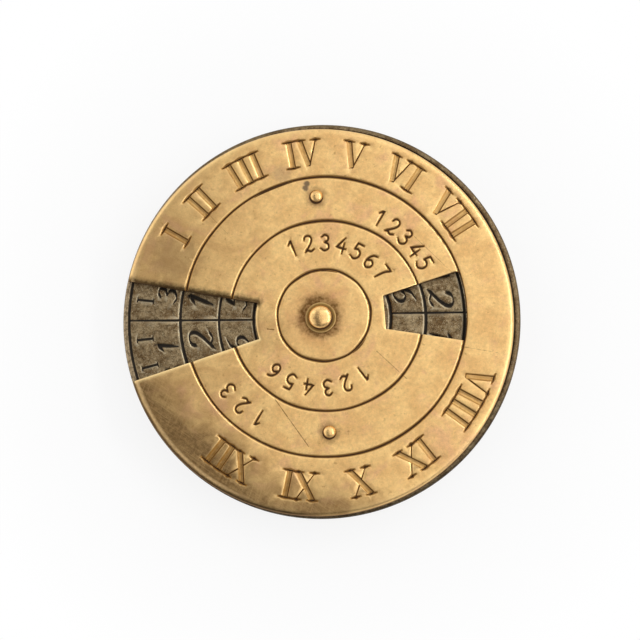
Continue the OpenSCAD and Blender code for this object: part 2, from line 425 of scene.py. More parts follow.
def ruled(a, b):
    t = np.linspace(0, 1, 5)[:, None]
    return stroke(a + (b - a) * t, THIN * np.array([.8, 1, .95, 1.03, .8]), LINE_SLOPE)


def spot(angle, radius, centre=PIVOT):
    return polar(centre, radius, math.radians(angle))


print("ring points:", len(ring(PIVOT, 5)["path"]))

# %% [markdown]
# ## Outlines
# A disc's outline is its round edge, its bore and its windows. Windows were pierced with a fine
# saw and then filed, and their upper edges are worn round by fingers. Points for that worn lip
# are laid in rows beside the edge.

# %% Outline helpers
def circle(centre, radius, steps):
    return polar(centre, radius, np.arange(steps) / steps * TURN)


def arc_points(centre, radius, start, end, steps):
    return polar(centre, radius, np.linspace(start, end, steps))


def inside_of(points, outline):
    """True where a point lies inside a closed outline."""
    x, y = points.T
    hit = np.zeros(len(points), bool)
    for (x0, y0), (x1, y1) in zip(outline, np.roll(outline, -1, 0)):
        crosses = (y0 > y) != (y1 > y)
        with np.errstate(divide="ignore", invalid="ignore"):
            hit ^= crosses & (x < (x1 - x0) * (y - y0) / (y1 - y0) + x0)
    return hit


def gap_to(points, outline, far=1.0):
    """Distance of each point from a closed outline, for the points that are not far from it."""
    best = np.full(len(points), 1e9)
    for a, b in zip(outline, np.roll(outline, -1, 0)):
        near = np.all(np.abs(points - (a + b) / 2) < np.abs(b - a) / 2 + far, 1)
        near = np.where(near)[0]
        if not len(near) or np.allclose(a, b):
            continue
        t = np.clip((points[near] - a) @ (b - a) / ((b - a) @ (b - a)), 0, 1)
        gap = np.linalg.norm(points[near] - a - t[:, None] * (b - a), axis=1)
        best[near] = np.minimum(best[near], gap)
    return best


def grown(outline, by):
    """The closed outline, pushed outwards, with mitred corners."""
    one, two = outline - np.roll(outline, 1, 0), np.roll(outline, -1, 0) - outline
    one /= np.linalg.norm(one, axis=1, keepdims=True)
    two /= np.linalg.norm(two, axis=1, keepdims=True)
    n1, n2 = np.stack([one[:, 1], -one[:, 0]], 1), np.stack([two[:, 1], -two[:, 0]], 1)
    n = n1 + n2
    n /= np.maximum((n * n1).sum(1, keepdims=True), 0.6)
    return outline + n * by


def off_from(points, centre):
    return np.linalg.norm(points - centre, axis=1)


print("square grown by 1:", grown(np.array([(0., 0), (2, 0), (2, 2), (0, 2)]), 1).tolist())

# %% [markdown]
# ## From net to metal
# Outlines and strokes become a closed solid in three steps. We lay the net and keep the triangles
# that are metal, sink the points, and then drop a wall from every open edge down to the inner
# face. Two numbers stay on each point for the materials: `cut`, where dirt and
# painted shade sit, and `wear`, where fingers polish and where the burr is painted
# bright as a highlight.

# %% Build one face of a disc
EDGE_ROWS = (0, .008, .035, .08, .15, .24, 1)  # rows across a rounded edge, close where it is steep
LIP_DROP = 0.3                                 # sinking of a window's worn edge, per width
SOFT, SOFT_DROP = 0.7, 0.035                   # width and depth of the soft fall towards the rim
DISH_R, DISH = 2.6, 0.03                       # the shallow dish that the rivet has drawn
# Rows of points beside the soft fall, a window's lip and a hole, as distances from the edge
SOFT_ROWS, LIP_ROWS, HOLE_ROWS = (.45, .57, SOFT), (.13, .33, .6, 1), (.06, .25)


def as_arrays(points, faces):
    return np.array([tuple(p) for p in points]), np.array([f[:] for f in faces], int)


def hole_steps(r):
    return 64 if r > 0.6 else 32


def outside_hole(points, hole, grow=1.0):
    """True where a point lies outside a hole's many flat sides."""
    centre, r = hole
    return off_from(points, centre) > r * grow * math.cos(math.pi / hole_steps(r))


def face_net(centre, radius, rounding, soft, windows, holes, strokes, pitch=0.55, steps=360):
    net = Net()
    for share in EDGE_ROWS:
        net.line(circle(centre, radius - rounding * share, steps), True)
    if soft:
        for e in SOFT_ROWS:
            net.dots(circle(centre, radius - e, 200))
    for w, lip in windows:
        net.line(w, True)
        for d in LIP_ROWS:
            net.dots(grown(w, d * lip))
    for c, r in holes:
        net.line(circle(c, r, hole_steps(r)), True)
        for d in HOLE_ROWS:
            net.dots(circle(c, r + d, hole_steps(r)))
    for s in strokes:
        net.stroke(s)
    r, n = 0.8, 0
    while r < radius - soft - 0.2:
        # every other row is a hair wider, so that the net isn't too regular
        net.dots(circle(centre, r + (0 if n % 2 else .01), max(8, int(TURN * r / pitch))))
        r, n = r + pitch, n + 1
    points, _, faces, _, _, _ = delaunay_2d_cdt(net.points, net.edges, [], 0, 1e-4)
    points, faces = as_arrays(points, faces)
    faces = faces[metal(points[faces].mean(1), centre, radius, windows, holes)]
    used = np.unique(faces)
    renumber = np.full(len(points), -1)
    renumber[used] = np.arange(len(used))
    return points[used], renumber[faces]


def metal(points, centre, radius, windows, holes, sunk=1.0):
    """True where a disc has metal. Its stud holes, all but the first one, may be sunk wider."""
    keep = off_from(points, centre) < radius
    for w, _ in windows:
        keep &= ~inside_of(points, w)
    for k, hole in enumerate(holes):
        keep &= outside_hole(points, hole, sunk if k else 1.0)
    return keep


def face_levels(points, centre, radius, rounding, soft, windows, strokes, dish=0.0):
    """Height of each point under the flat face, and the two numbers for the materials."""
    edge = radius - off_from(points, centre)
    e = np.clip(edge, 0, rounding)
    drop = rounding - np.sqrt(np.maximum(rounding ** 2 - (rounding - e) ** 2, 0))
    wear = np.clip(1 - edge / (soft or 2 * rounding), 0, 1) * np.clip(edge / .06, 0, 1)
    if soft:
        drop = drop + SOFT_DROP * np.clip(1 - edge / soft, 0, 1) ** 2
    for w, lip in windows:
        near = 1 - np.clip(gap_to(points, w) / lip, 0, 1)
        drop = np.maximum(drop, drop * .5 + LIP_DROP * lip * near ** 2)
        wear = np.maximum(wear, near ** 1.3)
    drop = drop + dish * np.clip(1 - off_from(points, PIVOT) / DISH_R, 0, 1) ** 2
    depth, dirt_and_shade, burr_highlight = sink(points, strokes)
    # A narrow band at the outer edge is painted dark, a painted shade.
    dirt_and_shade = np.maximum(dirt_and_shade, .5 * np.clip(1 - edge / .07, 0, 1))
    return drop + depth, dirt_and_shade, np.maximum(wear, burr_highlight) * (1 - dirt_and_shade)


print("a window's edge sinks by", LIP_DROP, "of its lip's width")

# %% Write a closed mesh
CRISP = math.radians(32)  # sharper edges than this stay sharp


def open_edges(faces):
    """Edges that belong to one triangle only, in that triangle's direction."""
    pairs = np.vstack([faces[:, [0, 1]], faces[:, [1, 2]], faces[:, [2, 0]]])
    seen = {tuple(p) for p in pairs.tolist()}
    return [(a, b) for a, b in seen if (b, a) not in seen]


def write_mesh(name, points, faces, cut, wear, flip=False):
    """A mesh in metres, smooth but for its sharp edges, with the two numbers on its points."""
    points = np.array(points, float)
    if flip:
        points = points * (1, 1, -1)
        faces = [tuple(reversed(f)) for f in faces]
    mesh = bpy.data.meshes.new(name)
    mesh.from_pydata([tuple(p) for p in points * MM], [], [tuple(map(int, f)) for f in faces])
    for key, values in (("cut", cut), ("wear", wear)):
        layer = mesh.attributes.new(key, "FLOAT", "POINT").data
        layer.foreach_set("value", np.array(values, np.float32))
    return smooth_piece(name, mesh, CRISP)


def smooth_piece(name, mesh, crisp):
    mesh.polygons.foreach_set("use_smooth", [True] * len(mesh.polygons))
    mesh.set_sharp_from_angle(angle=crisp)
    mesh.validate()
    piece = bpy.data.objects.new(name, mesh)
    bpy.context.scene.collection.objects.link(piece)
    check_closed(piece)
    return piece


def check_closed(piece):
    bm = bmesh.new()
    bm.from_mesh(piece.data)
    loose = sum(1 for e in bm.edges if len(e.link_faces) != 2)
    volume = bm.calc_volume(signed=True) / MM ** 3
    bm.free()
    print(f"{piece.name}: {len(piece.data.polygons)} faces, {loose} open edges,"
          f" volume {volume:.1f} mm3")


print("edges sharper than", round(math.degrees(CRISP)), "degrees stay sharp")

# %% [markdown]
# A cover is worn on its face and plain on its back. Walls go down from the open edges of the net
# in two rows, so that the lower corner stays crisp. The inner face is a second, coarser net over
# the same outline, in which the stud holes are wider, for the tails that are spread into them.

# %% Make a cover
COVER_ROUND = 0.35
RIM_MID, WALL_MID = 0.06, 0.2       # height of the walls' middle row, at the rim and elsewhere
SINK_DEPTH, SINK_FLARE = 0.25, 1.5  # countersink of a stud hole on the inner face


def make_cover(name, disc, windows, holes, strokes, flip):
    """A cover that is drawn face up on z = 0 and stands between its solid's two levels. The first
    hole is the bore, and the others are the stud holes."""
    centre, radius = disc["centre"], disc["radius"]
    top, tris = face_net(centre, radius, COVER_ROUND, SOFT, windows, holes, strokes)
    drop, cut, wear = face_levels(top, centre, radius, COVER_ROUND, SOFT, windows, strokes, DISH)

    edges = open_edges(tris)
    border = sorted({i for e in edges for i in e})
    order = {i: n for n, i in enumerate(border)}
    n, base = len(border), len(top)
    mid, foot = top[border].copy(), top[border].copy()
    on_rim = off_from(mid, centre) > radius - 0.004
    mid_z = np.where(on_rim, RIM_MID, WALL_MID)
    for c, r in holes[1:]:
        near = off_from(mid, c) < r + 0.01
        mid_z[near] = SINK_DEPTH
        foot[near] = c + (foot[near] - c) * SINK_FLARE
    faces = [tuple(t) for t in tris]
    for a, b in edges:
        a1, b1 = base + order[a], base + order[b]
        faces += [(a, a1, b1, b), (a1, a1 + n, b1 + n, b1)]

    back_edges = [(order[a], order[b]) for a, b in edges]
    under, _, under_tris, origin, _, _ = delaunay_2d_cdt(vectors(foot), back_edges, [], 0, 1e-6)
    under, under_tris = as_arrays(under, under_tris)
    keep = metal(under[under_tris].mean(1), centre, radius, windows, holes, SINK_FLARE)
    for t in under_tris[keep]:
        faces.append(tuple(base + n + origin[i][0] for i in t)[::-1])

    points = np.vstack([np.column_stack([top, disc["thick"] - drop]),
                        np.column_stack([mid, mid_z]), np.column_stack([foot, np.zeros(n)])])
    points[:, 2] += -disc["high"] if flip else disc["low"]
    # The walls and the inner face carry dirt and painted shade: the window walls are dark, the
    # inner face darkest, and the rim's wall is painted darker towards the bottom of the disc.
    lower = np.clip(.4 - (mid[:, 1] - centre[1]) / radius, 0, 1)
    cut = np.concatenate([cut, np.where(on_rim, .35 + .5 * lower, .8), np.where(on_rim, .9, 1)])
    wear = np.concatenate([wear, np.zeros(2 * n)])
    return write_mesh(name, points, faces, cut, wear, flip)


print("tools for the covers are ready")

# %% [markdown]
# ## The front cover
# It has three rings, two fan-shaped windows, two finger studs and three bands of numbers. The
# long window runs out through the rim, the short one is closed. The straight sides of each window
# meet a little behind the pivot, because they were laid out by hand.

# %% Draw the front cover's windows
WINDOW_TURN = math.radians(4.8)
LONG_FAN = {"axis": WINDOW_TURN + math.pi - math.radians(.55), "half": math.radians(14.25),
            "apex": 1.0, "beside": .22}
SHORT_FAN = {"axis": WINDOW_TURN, "half": math.radians(13.6), "apex": 0.6, "beside": 0.0}
INNER_AT, MIDDLE_AT, OUTER_AT = PIVOT + (.32, .25), PIVOT + (.58, .26), PIVOT + (.4, .2)


def facing(angle):
    return np.array([math.cos(angle), math.sin(angle)])


def fan_point(fan, side, distance):
    """Point on a window's straight side, as far from the apex as the distance says."""
    along = facing(fan["axis"])
    apex = PIVOT - fan["apex"] * along + fan["beside"] * np.array([along[1], -along[0]])
    return apex + distance * facing(fan["axis"] + side * fan["half"])


def side_meets(fan, side, centre, radius):
    """Where a window's straight side crosses a circle."""
    start, way = fan_point(fan, side, 0) - centre, facing(fan["axis"] + side * fan["half"])
    b = start @ way
    return start + centre + way * (-b + math.sqrt(b * b - start @ start + radius ** 2))


def bearing(point, centre):
    return math.atan2(*(point - centre)[::-1])


def long_window(inner=6.5, beyond=21):
    low, high = (side_meets(LONG_FAN, side, PIVOT, inner) for side in (-1, 1))
    out = [side_meets(LONG_FAN, side, PIVOT, beyond) for side in (-1, 1)]
    start, end = bearing(high, PIVOT) % TURN, bearing(low, PIVOT) % TURN
    return np.vstack([out, arc_points(PIVOT, inner, start, end, 16)])


def short_window(inner=6.4, outer=14.2, worn=0.5):
    """Closed window. Its last corner is worn round over half a millimetre."""
    foot = (inner + SHORT_FAN["apex"]) / math.cos(SHORT_FAN["half"])
    feet = [fan_point(SHORT_FAN, side, foot) for side in (1, -1)]
    low, high = (side_meets(SHORT_FAN, side, OUTER_AT, outer) for side in (-1, 1))
    start, end = bearing(low, OUTER_AT), bearing(high, OUTER_AT) - 0.036
    body = np.vstack([feet, arc_points(OUTER_AT, outer, start, end, 22)])
    corner = high + (feet[0] - high) / np.linalg.norm(feet[0] - high) * worn
    bend = [body[-1] * (1 - t) ** 2 + 2 * t * (1 - t) * high + t * t * corner
            for t in (.2, .4, .6, .8, 1)]
    return np.vstack([body, bend])


def counterclockwise(outline):
    x, y = outline.T
    area = (x * np.roll(y, -1) - np.roll(x, -1) * y).sum()
    return outline if area > 0 else outline[::-1]


LONG, SHORT = counterclockwise(long_window()), counterclockwise(short_window())
print("long window inner width", round(float(np.linalg.norm(LONG[2] - LONG[-1])), 2), "mm")

# %% [markdown]
# The bands of numbers: the months run round the edge in Roman numerals, and small plain figures
# stand between the rings. On the real object these are words, and we copy no words. Three places
# where the graver slipped along a ring are strokes too, only finer. The hairlines come later, in
# the metal.

# %% Engrave and build the front cover
MONTHS = ["I", "II", "III", "IV", "V", "VI", "VII", "VIII", "IX", "X", "XI", "XII"]
NUMERAL_FOOT, NUMERAL_HIGH = 15.45, 2.9
COVER_BORE, STUD_SHANK = 0.95, 0.4  # radii
# Rows of figures: how many, bearing of the first, degrees between two, radius of the feet, height
ROWS = [(7, 112, 12.6, 6.85, 1.6), (5, 59.5, 7.9, 10.95, 1.65),
        (6, -53, 15.6, 6.3, 1.55), (3, -121.5, 10.2, 11.0, 1.6)]
SLIPS = [(INNER_AT, 4.5, 74, 103, .07), (INNER_AT, 4.8, -52, -30, .09),
         (OUTER_AT, 14.02, 104, 120, .13)]


def spread(texts, start, end, middle=16.9):
    """Each numeral with its bearing, clockwise from start to end, with equal gaps between."""
    sizes = [sum(ADVANCE[c] for c in t) for t in texts]
    gap = (math.radians(start - end) * middle - sum(sizes)) / (len(texts) - 1)
    s, out = 0.0, []
    for text, size in zip(texts, sizes):
        out.append((text, start - math.degrees((s + size / 2) / middle)))
        s += size + gap
    return out


def front_strokes():
    made = [ring(INNER_AT, 4.65, phase=.4), ring(MIDDLE_AT, 9.65, phase=2.1),
            ring(OUTER_AT, 14.16, phase=3.3)]
    for text, angle in spread(MONTHS[:7], 152, 30) + spread(MONTHS[7:], -18.5, -130.5):
        made += roman(text, angle, NUMERAL_FOOT, NUMERAL_HIGH)
    for count, first, apart, foot, height in ROWS:
        for n in range(count):
            made += figure(str(n + 1), first - apart * n, foot, height, .18, slope=.8)
    return made + [arc(*slip) for slip in SLIPS]


def middle_of(node):
    low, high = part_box(node)
    return np.array((low + high) / 2)[:2] / MM


STUDS = {node: middle_of(node)
         for node in ("upper_stud", "lower_stud", "back_right_stud", "back_left_stud")}


def cover_holes(*studs):
    return [(PIVOT, COVER_BORE)] + [(STUDS[node], STUD_SHANK) for node in studs]


front_cover = make_cover("front_cover_engraved", FRONT, [(LONG, .3), (SHORT, .1)],
                         cover_holes("upper_stud", "lower_stud"), front_strokes(), flip=False)

# %% [markdown]
# ## The back cover
# It is the same disc turned over. Half of it is a table of dates in seven columns, and an arc
# shows seven of the plate's fourteen weekday fields. As it is built face up and then turned over,
# its figures run the other way round here.

# %% Engrave and build the back cover
WEEK_IN, WEEK_OUT = 15.5, 17.8
COLUMN = 180 / 7             # degrees
DATES_IN, DATES_OUT = 8.2, 14.82
FIRST_ROW, ROW = 13.45, 1.22


def week_window():
    return counterclockwise(np.vstack([arc_points(PIVOT, WEEK_OUT, 0, math.pi, 90),
                                       arc_points(PIVOT, WEEK_IN, math.pi, 0, 80)]))


def back_strokes():
    made = [ring(PIVOT, 4.65, phase=1.1), ring(PIVOT, DATES_IN, phase=2.7)]
    for n in range(8):
        made.append(ruled(spot(n * COLUMN, DATES_IN), spot(n * COLUMN, DATES_OUT)))
    for day in range(31):
        row, column = divmod(day, 7)
        made += figure(str(day + 1), (column + .5) * COLUMN, FIRST_ROW - row * ROW, .86, .06,
                       back=True, slope=1)
    return made


back_cover = make_cover("back_cover_engraved", BACK, [(week_window(), .2)],
                        cover_holes("back_right_stud", "back_left_stud"), back_strokes(),
                        flip=True)

# %% [markdown]
# ## The calendar plate
# The front has twelve month fields in three rows: the month and its days outside, the hours of
# daylight in the middle and the hour of sunrise inside. The window opposite shows the month six
# months away, whose daylight is this month's night. The back has the ring of weekday fields.
# Both faces have the same round edge, so they share its points and one wall closes the rim.

# %% Engrave the plate
DAYS = [31, 28, 31, 30, 31, 30, 31, 31, 30, 31, 30, 31]
LIGHT = [8, 10, 12, 14, 16, 17, 16, 14, 12, 10, 9, 8]
SUNRISE = [8, 7, 6, 5, 4, 4, 4, 5, 6, 7, 7, 8]
TABLE_TURN, TABLE_AT, TABLE_RINGS, TABLE_OUT = .3, PIVOT + (.12, 0), (6.9, 10.4, 14.3), 19.4
FIELD = 30                   # degrees
STEADY = .012                # waver of a ring that was struck with care
# How far the two ends of each ruled line stray from their bearing, in degrees, inner end first
STRAY = [(4.2, 1.5), (.6, -.5), (-1.1, .4), (1.4, .2), (-.6, -.7), (.9, .5),
         (.1, -.1), (1.2, .3), (-.8, .6), (.5, -.6), (-1.3, .1), (.7, .5)]


def plate_front_strokes():
    made = [ring(TABLE_AT, r, phase=n * 1.3, waver=STEADY) for n, r in enumerate(TABLE_RINGS)]
    made.append(ring(PIVOT, TABLE_OUT, half=.155, phase=3.9, waver=STEADY, swell=.06, lean=.3))
    for n, (first, last) in enumerate(STRAY):
        angle = TABLE_TURN + FIELD * n
        made.append(ruled(spot(angle + first, TABLE_RINGS[0], TABLE_AT),
                          spot(angle + last, TABLE_OUT)))
    for m, (month, days, light, sunrise) in enumerate(zip(MONTHS, DAYS, LIGHT, SUNRISE)):
        middle = TABLE_TURN + 195 - FIELD * (m - 2)  # March is left, under the long window
        made += plain_roman(month, middle, 17.05, 1.6, .185, apart=3.6)
        made += figure(str(days), middle, 14.75, 1.9, .27, script=True, pitch=1.5)
        made += figure(str(light), middle, 11.1, 2.3, .3, script=True, pitch=1.1)
        made += figure(str(sunrise), middle + 1.2, 7.65, 2.1, .27, script=True)
    return made


def plate_back_strokes():
    made = [ring(PIVOT, r, phase=n + .5, waver=STEADY)
            for n, r in enumerate((WEEK_IN, WEEK_OUT))]
    for n in range(14):
        made.append(ruled(spot(n * COLUMN, WEEK_IN), spot(n * COLUMN, WEEK_OUT)))
        made += plain_roman(MONTHS[n % 7], (n + .5) * COLUMN, 15.95, 1.4, .085, back=True)
    return made


print("plate strokes:", len(plate_front_strokes()), "and", len(plate_back_strokes()))

# %% Build the plate
PLATE_ROUND, PLATE_BORE = 0.3, 0.9


def make_plate():
    radius, holes, sides = PLATE["radius"], [(PIVOT, PLATE_BORE)], []
    for strokes in (plate_front_strokes(), plate_back_strokes()):
        net, tris = face_net(PIVOT, radius, PLATE_ROUND, 0, [], holes, strokes)
        sides.append((net, tris, *face_levels(net, PIVOT, radius, PLATE_ROUND, 0, [], strokes)))
    (top, top_tris, top_drop, *top_marks), (low, low_tris, low_drop, *low_marks) = sides
    points = np.vstack([np.column_stack([top, PLATE["thick"] - top_drop]),
                        np.column_stack([low, low_drop])])
    points[:, 2] += PLATE["low"]
    shift = len(top)
    faces = [tuple(t) for t in top_tris] + [tuple(t + shift)[::-1] for t in low_tris]
    twin = {tuple(np.round(low[i], 3)): i + shift for edge in open_edges(low_tris) for i in edge}
    for a, b in open_edges(top_tris):
        faces.append((a, twin[tuple(np.round(top[a], 3))], twin[tuple(np.round(top[b], 3))], b))
    cut, wear = (np.concatenate(pair) for pair in zip(top_marks, low_marks))
    return write_mesh("calendar_plate_engraved", points, faces, cut, wear)


calendar_plate = make_plate()

# %% [markdown]
# ## Turned pieces
# Rivet, washers and studs are turned on a lathe: each is a section swept once round an axis. That
# is a rule, so it is a Geometry Nodes tree. A grid of points is wrapped round the axis, and each
# of its rows takes its radius and height from one point of the section, which is the modifier's
# own mesh. Merge by Distance closes the seam and the two poles. As trees of nodes come back in
# every finish below, a small helper first shortens the calls.

# %% A helper for trees of nodes
class Nodes:
    def __init__(self, tree):
        self.tree = tree

    def put(self, socket, value):
        if isinstance(value, bpy.types.NodeSocket):
            self.tree.links.new(value, socket)
        else:
            socket.default_value = value

    def new(self, kind, inputs=None, **settings):
        """A node with its settings, and with a value or a link put into some of its sockets."""
        node = self.tree.nodes.new(kind)
        for name, value in settings.items():
            setattr(node, name, value)
        for key, value in (inputs or {}).items():
            self.put(node.inputs[key], value)
        return node

    def math(self, operation, *values, clamp=False):
        return self.new("ShaderNodeMath", dict(enumerate(values)), operation=operation,
                        use_clamp=clamp).outputs[0]

    def plus(self, first, *more, clamp=False):
        for n, value in enumerate(more, 1):
            first = self.math("ADD", first, value, clamp=clamp and n == len(more))
        return first

    def less(self, a, b):
        return self.math("SUBTRACT", a, b)

    def times(self, first, *more, clamp=False):
        for n, value in enumerate(more, 1):
            first = self.math("MULTIPLY", first, value, clamp=clamp and n == len(more))
        return first


print("helper ready, with the calls new, put, math, plus, less and times")

# %% Build the lathe tree
def lathe_tree():
    tree = bpy.data.node_groups.new("lathe", "GeometryNodeTree")
    wanted = [tree.interface.new_socket(name, in_out="INPUT", socket_type="NodeSocket" + kind)
              for name, kind in (("Section", "Geometry"), ("Steps Round", "Int"),
                                 ("Place", "Vector"), ("Metal", "Material"))]
    tree.interface.new_socket("Piece", in_out="OUTPUT", socket_type="NodeSocketGeometry")
    n = Nodes(tree)
    given, result = n.new("NodeGroupInput").outputs, n.new("NodeGroupOutput").inputs

    size = n.new("GeometryNodeAttributeDomainSize", {0: given["Section"]})
    rows = size.outputs["Point Count"]
    grid = n.new("GeometryNodeMeshGrid", {
        "Size X": 1, "Size Y": 1, "Vertices X": n.plus(given["Steps Round"], 1),
        "Vertices Y": rows})
    where = n.new("GeometryNodeInputPosition").outputs[0]
    on_grid = n.new("ShaderNodeSeparateXYZ", {0: where}).outputs
    angle = n.times(n.plus(on_grid["X"], 0.5), TURN)
    row = n.math("ROUND", n.times(n.plus(on_grid["Y"], 0.5), n.less(rows, 1)))
    taken = n.new("GeometryNodeSampleIndex", {
        "Geometry": given["Section"], "Value": where, "Index": row}, data_type="FLOAT_VECTOR")
    part = n.new("ShaderNodeSeparateXYZ", {0: taken.outputs[0]}).outputs
    swept = n.new("ShaderNodeCombineXYZ", {
        "X": n.times(part["X"], n.math("COSINE", angle)),
        "Y": n.times(part["X"], n.math("SINE", angle)), "Z": part["Z"]})
    moved = n.new("GeometryNodeSetPosition", {
        "Geometry": grid.outputs["Mesh"], "Position": swept.outputs[0], "Offset": given["Place"]})
    merged = n.new("GeometryNodeMergeByDistance", {"Geometry": moved.outputs[0], "Distance": 1e-6})
    real = n.new("GeometryNodeRealizeInstances", {0: merged.outputs[0]})
    painted = n.new("GeometryNodeSetMaterial", {
        "Geometry": real.outputs[0], "Material": given["Metal"]})
    n.put(result[0], painted.outputs[0])
    return tree, *(socket.identifier for socket in wanted[1:])


LATHE, STEPS_ROUND, PLACE, METAL = lathe_tree()
print("lathe tree:", len(LATHE.nodes), "nodes")

# %% [markdown]
# The sections. A domed head is not quite a slice of a ball: it was spread by a hammer, so it has a
# short side, a tight shoulder and a flatter crown.

# %% Draw the sections
STUD_R, STUD_RISE, RECESS = .7, .65, .02
RIVET_R, HEAD_RISE, TAIL_RISE, NECK_R, NECK_LONG = 1.225, .75, .5, .6, .15
WASHER_R, WASHER_STEP = 1.55, (1.43, 1.37)


def dome_section(r, rise, base_z, side=0.12, steps=18):
    """Points from the foot of a domed head up to its pole."""
    out = [(r * .985, base_z), (r, base_z + side * .35), (r, base_z + side)]
    for i in range(1, steps + 1):
        a = i / steps * math.pi / 2
        out.append((r * math.cos(a) ** .82 if i < steps else 0.0,
                    base_z + side + (rise - side) * math.sin(a) ** 1.05))
    return out


def upside_down(section, about=0.0):
    return [(r, 2 * about - z) for r, z in section]


def stud_section(z0, thick):
    """From the tail, spread into its countersink, through the cover and up to the crown."""
    tail = STUD_SHANK * SINK_FLARE
    foot = tail - (tail - STUD_SHANK) * RECESS / SINK_DEPTH
    return ([(0, z0 + RECESS), (foot, z0 + RECESS), (STUD_SHANK, z0 + SINK_DEPTH),
             (STUD_SHANK, z0 + thick)] + dome_section(STUD_R, STUD_RISE, z0 + thick))


def rivet_section(low, high):
    """Two domed ends, a neck for the tail washer and a thicker body for plate and covers."""
    seat_low, seat_high = low + TAIL_RISE, high - HEAD_RISE
    shoulder = seat_low + NECK_LONG
    return (upside_down(dome_section(RIVET_R, TAIL_RISE, seat_low), seat_low)[::-1]
            + [(NECK_R, seat_low), (NECK_R, shoulder), (PLATE_BORE, shoulder),
               (PLATE_BORE, seat_high)]
            + dome_section(RIVET_R, HEAD_RISE, seat_high))


def washer_section(bore, low, high):
    r = WASHER_R
    return [(bore, low), (r - .03, low), (r, low + .03), (r, high - .06), (r - .02, high - .02),
            (r - .07, high), (WASHER_STEP[0], high), (WASHER_STEP[1], high), (bore + .02, high),
            (bore, high - .02), (bore, low)]


print("stud section:", len(stud_section(0, .8)), "points")

# %% [markdown]
# ## Gilt metal
# The brass was gilded with mercury and has worn for two centuries. It is warm and sandy where
# hands have kept it bright, brown towards one side, partly tarnish and partly painted shade, pink
# where the copper shows, and nearly black in the cuts. All of that is mixed from noise on the
# piece's own coordinates, in millimetres, so it stays on the metal when the cover turns.

# %% Material helpers
def screen_colour(r, g, b):
    """A colour as a screen shows it, turned to the linear values that a shader wants."""
    part = [c / 255 for c in (r, g, b)]
    return (*(c / 12.92 if c <= .04045 else ((c + .055) / 1.055) ** 2.4 for c in part), 1.0)


class Shades(Nodes):
    """A metal that is built up layer by layer: its own noises, masks and colour so far."""

    def __init__(self, name):
        self.material = bpy.data.materials.new(name)
        self.material.use_nodes = True
        super().__init__(self.material.node_tree)
        self.shader = self.tree.nodes["Principled BSDF"].inputs
        place = self.new("ShaderNodeTexCoord").outputs["Object"]
        self.mm = self.new("ShaderNodeVectorMath", {0: place, "Scale": 1 / MM},
                           operation="SCALE").outputs[0]
        self.x, self.y, _ = self.new("ShaderNodeSeparateXYZ", {0: self.mm}).outputs

    def stretch(self, x, y, z, turn=0.0):
        """Coordinates with their own scale along each of three turned axes."""
        return self.new("ShaderNodeMapping", {
            "Rotation": (0, 0, math.radians(turn)), "Scale": (1 / x, 1 / y, 1 / z),
            "Vector": self.mm}, vector_type="TEXTURE").outputs[0]

    def noise(self, scale, detail=3.0, rough=0.55, at=None, warp=0.0):
        return self.new("ShaderNodeTexNoise", {
            "Vector": at or self.mm, "Scale": scale, "Detail": detail, "Roughness": rough,
            "Distortion": warp}).outputs[0]

    def swing(self, noise, by):
        """A noise as an offset that goes both ways."""
        return self.times(self.less(noise, .5), by)

    def band(self, value, low, high, to_low=0.0, to_high=1.0):
        """A soft step from one level to another."""
        return self.new("ShaderNodeMapRange",
                        dict(enumerate((value, low, high, to_low, to_high))),
                        interpolation_type="SMOOTHSTEP").outputs[0]

    def read(self, name):
        return self.new("ShaderNodeAttribute", attribute_name=name).outputs["Fac"]

    def towards(self, x, y):
        """How far a spot lies out towards one side of the disc, in millimetres."""
        return self.plus(self.times(self.x, x), self.times(self.y, y))

    def length(self, dx, dy):
        return self.math("SQRT", self.plus(self.times(dx, dx), self.times(dy, dy)))

    def away(self, x, y):
        """Distance from the upright line through a point of the face, in millimetres."""
        return self.length(self.less(self.x, x), self.less(self.y, y))

    def beside(self, a, b):
        """Distance from the straight line between two points of the face, in millimetres."""
        way = b[0] - a[0], b[1] - a[1]
        long = way[0] ** 2 + way[1] ** 2
        dx, dy = self.less(self.x, a[0]), self.less(self.y, a[1])
        t = self.plus(self.times(dx, way[0] / long), self.times(dy, way[1] / long), clamp=True)
        return self.length(self.less(dx, self.times(t, way[0])),
                           self.less(dy, self.times(t, way[1])))

    def mix(self, share, a, b, kind="MIX"):
        a, b = (screen_colour(*c) if isinstance(c, tuple) else c for c in (a, b))
        return self.new("ShaderNodeMix", {0: share, 6: a, 7: b}, data_type="RGBA",
                        blend_type=kind).outputs[2]

    def stain(self, share, tint, kind="MIX"):
        """Lay one more colour over the colour so far."""
        self.colour = self.mix(share, self.colour, tint, kind)

    def bumps(self, *layers):
        """Chain bumps, each a height with its distance in metres and its strength."""
        normal = {}
        for height, distance, strength in layers:
            bump = self.new("ShaderNodeBump", {"Height": height, "Distance": distance,
                                               "Strength": strength, **normal})
            normal = {"Normal": bump.outputs[0]}
        self.put(self.shader["Normal"], normal["Normal"])


print("mid grey is", round(screen_colour(128, 128, 128)[0], 3), "in linear light")

# %% [markdown]
# The gilding is laid in the order in which time laid it: the gold and the copper that shows
# through, the tarnish, which also carries painted shade, the scratches that hands rubbed into the
# tarnish, and a fine sandy grain.

# %% Gold, tarnish with painted shade, scratches and grain
SCRATCHES = (.3, 13, 8, -34), (15, .35, 8, -21)  # scale along three axes, and turn in degrees


def gilding(s):
    s.slow, s.middle = s.noise(.13, 2), s.noise(.5, 5, .62, warp=.4)
    s.quick, s.fine = s.noise(2.6, 6, .68), s.noise(8, 5, .65)
    s.colour = s.mix(s.band(s.middle, .32, .68), (240, 200, 134), (224, 180, 118))
    s.stain(s.times(s.band(s.noise(.36, 4, .6, warp=.8), .5, .72), .6), (220, 168, 126))


